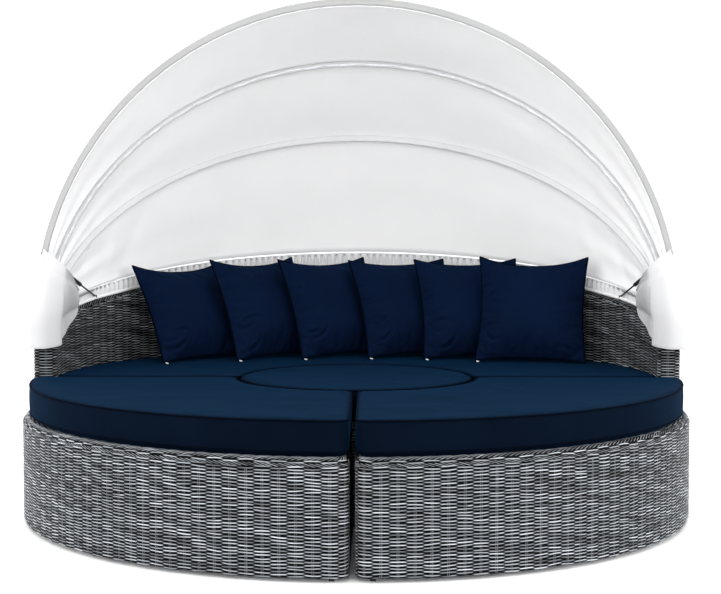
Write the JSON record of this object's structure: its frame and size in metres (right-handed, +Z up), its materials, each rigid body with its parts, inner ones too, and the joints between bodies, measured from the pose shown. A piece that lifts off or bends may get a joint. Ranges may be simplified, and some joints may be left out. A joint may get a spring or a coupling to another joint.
{
  "type": "outdoor daybed with canopy",
  "caption": "Round woven outdoor daybed: a half-round sofa with a folding fabric canopy, quarter-round front seats, a round centre ottoman, navy seat cushions and pillows.",
  "frame": {"origin": "on the floor, under the middle of the daybed's overall box", "axes": "+Z up, -Y towards the front where a person gets on, +X to the right seen from the front"},
  "size_m": [2.33, 2.299, 1.8207],
  "materials": {
    "silver_weave": "woven synthetic rattan, grey with lighter and browner strands",
    "dark_weave": "woven synthetic rattan, darker grey",
    "navy_fabric": "woven outdoor polyester with self piping",
    "white_fabric": "coated canopy polyester",
    "frame_metal": "powder-coated aluminium tube",
    "black_metal": "black powder coat",
    "steel": "polished rod",
    "deck_panel": "webbed seat panel",
    "foot_plastic": "moulded glide"
  },
  "bodies": {
    "sofa": {"wall_weave": "dark_weave", "seat_front_weave": "silver_weave", "seat_deck": "deck_panel", "sofa_frame": "frame_metal", "seat_cushion": "navy_fabric", "sofa_foot_1": "foot_plastic", "sofa_foot_2": "foot_plastic", "sofa_foot_3": "foot_plastic", "sofa_foot_4": "foot_plastic", "pillow_1": "navy_fabric", "pillow_2": "navy_fabric", "pillow_3": "navy_fabric", "pillow_4": "navy_fabric", "pillow_5": "navy_fabric", "pillow_6": "navy_fabric", "rear_bow": "frame_metal", "pivot_bolt_left": "steel", "pivot_bolt_right": "steel", "pivot_bracket_left": "black_metal", "pivot_bracket_right": "black_metal", "gathered_skirt": "white_fabric", "arm_flap_left": "white_fabric", "arm_flap_right": "white_fabric", "strut_eye_left": "black_metal", "strut_eye_right": "black_metal"},
    "third_bow": {"third_bow": "frame_metal", "rear_panel": "white_fabric"},
    "second_bow": {"second_bow": "frame_metal", "middle_panel": "white_fabric"},
    "front_bow": {"front_bow": "frame_metal", "front_panel": "white_fabric"},
    "front_bow_plate_left": {"front_bow_plate_left": "black_metal"},
    "strut_rod_left": {"strut_rod_left": "steel"},
    "strut_cylinder_left": {"strut_cylinder_left": "black_metal"},
    "front_bow_plate_right": {"front_bow_plate_right": "black_metal"},
    "strut_rod_right": {"strut_rod_right": "steel"},
    "strut_cylinder_right": {"strut_cylinder_right": "black_metal"},
    "front_left": {"front_left_weave": "silver_weave", "front_left_frame": "frame_metal", "front_left_deck": "deck_panel", "front_left_cushion": "navy_fabric", "front_left_foot_1": "foot_plastic", "front_left_foot_2": "foot_plastic", "front_left_foot_3": "foot_plastic", "front_left_foot_4": "foot_plastic"},
    "front_right": {"front_right_weave": "silver_weave", "front_right_frame": "frame_metal", "front_right_deck": "deck_panel", "front_right_cushion": "navy_fabric", "front_right_foot_1": "foot_plastic", "front_right_foot_2": "foot_plastic", "front_right_foot_3": "foot_plastic", "front_right_foot_4": "foot_plastic"},
    "ottoman": {"ottoman_weave": "silver_weave", "ottoman_frame": "frame_metal", "ottoman_deck": "deck_panel", "ottoman_cushion": "navy_fabric", "ottoman_foot_1": "foot_plastic", "ottoman_foot_2": "foot_plastic", "ottoman_foot_3": "foot_plastic"}
  },
  "joints": [
    {"name": "canopy_fold", "type": "hinge", "parent": "sofa", "child": "third_bow", "pos_m": [0, 0.04005, 0.68541], "axis": [-1, 0, 0], "range_deg": [0, 23.9], "deforming": ["rear_panel"]},
    {"name": "second_bow_fold", "type": "hinge", "parent": "third_bow", "child": "second_bow", "pos_m": [0, 0.04005, 0.68541], "axis": [-1, 0, 0], "range_deg": [0, 17.52], "deforming": ["middle_panel"]},
    {"name": "front_bow_fold", "type": "hinge", "parent": "second_bow", "child": "front_bow", "pos_m": [0, 0.04005, 0.68541], "axis": [-1, 0, 0], "range_deg": [0, 17.82], "deforming": ["front_panel"]},
    {"name": "left_plate_turn", "type": "hinge", "parent": "sofa", "child": "front_bow_plate_left", "pos_m": [0, 0.04005, 0.68541], "axis": [-1, 0, 0], "range_deg": [0, 59.25], "deforming": ["arm_flap_left"]},
    {"name": "left_strut_swing", "type": "hinge", "parent": "sofa", "child": "strut_rod_left", "pos_m": [-0.99352, 0.42836, 0.7219], "axis": [0.9236, -0.2444, -0.2955], "range_deg": [0, 14.04]},
    {"name": "left_strut_close", "type": "slide", "parent": "strut_rod_left", "child": "strut_cylinder_left", "axis": [0.1523, 0.9409, -0.3024], "range_m": [0, 0.13325]},
    {"name": "right_plate_turn", "type": "hinge", "parent": "sofa", "child": "front_bow_plate_right", "pos_m": [0, 0.04005, 0.68541], "axis": [-1, 0, 0], "range_deg": [0, 59.25], "deforming": ["arm_flap_right"]},
    {"name": "right_strut_swing", "type": "hinge", "parent": "sofa", "child": "strut_rod_right", "pos_m": [0.99352, 0.42836, 0.7219], "axis": [0.9236, 0.2444, 0.2955], "range_deg": [0, 14.04]},
    {"name": "right_strut_close", "type": "slide", "parent": "strut_rod_right", "child": "strut_cylinder_right", "axis": [-0.1523, 0.9409, -0.3024], "range_m": [0, 0.13325]},
    {"name": "front_left_slide", "type": "slide", "parent": "sofa", "child": "front_left", "axis": [0, -1, 0], "range_m": [0, 0.6]},
    {"name": "front_right_slide", "type": "slide", "parent": "sofa", "child": "front_right", "axis": [0, -1, 0], "range_m": [0, 0.6]},
    {"name": "ottoman_lift", "type": "slide", "parent": "sofa", "child": "ottoman", "axis": [0, 0, 1], "range_m": [0, 0.4]}
  ],
  "couplings": [
    {"joint": "second_bow_fold", "follows": "canopy_fold", "ratio": 0.73222},
    {"joint": "front_bow_fold", "follows": "canopy_fold", "ratio": 0.74477},
    {"joint": "left_plate_turn", "follows": "canopy_fold", "ratio": 2.477},
    {"joint": "left_strut_swing", "follows": "canopy_fold", "ratio": 0.58654},
    {"joint": "left_strut_close", "follows": "canopy_fold", "m_per_rad": 0.31897},
    {"joint": "right_plate_turn", "follows": "canopy_fold", "ratio": 2.477},
    {"joint": "right_strut_swing", "follows": "canopy_fold", "ratio": 0.58654},
    {"joint": "right_strut_close", "follows": "canopy_fold", "m_per_rad": 0.31897}
  ]
}
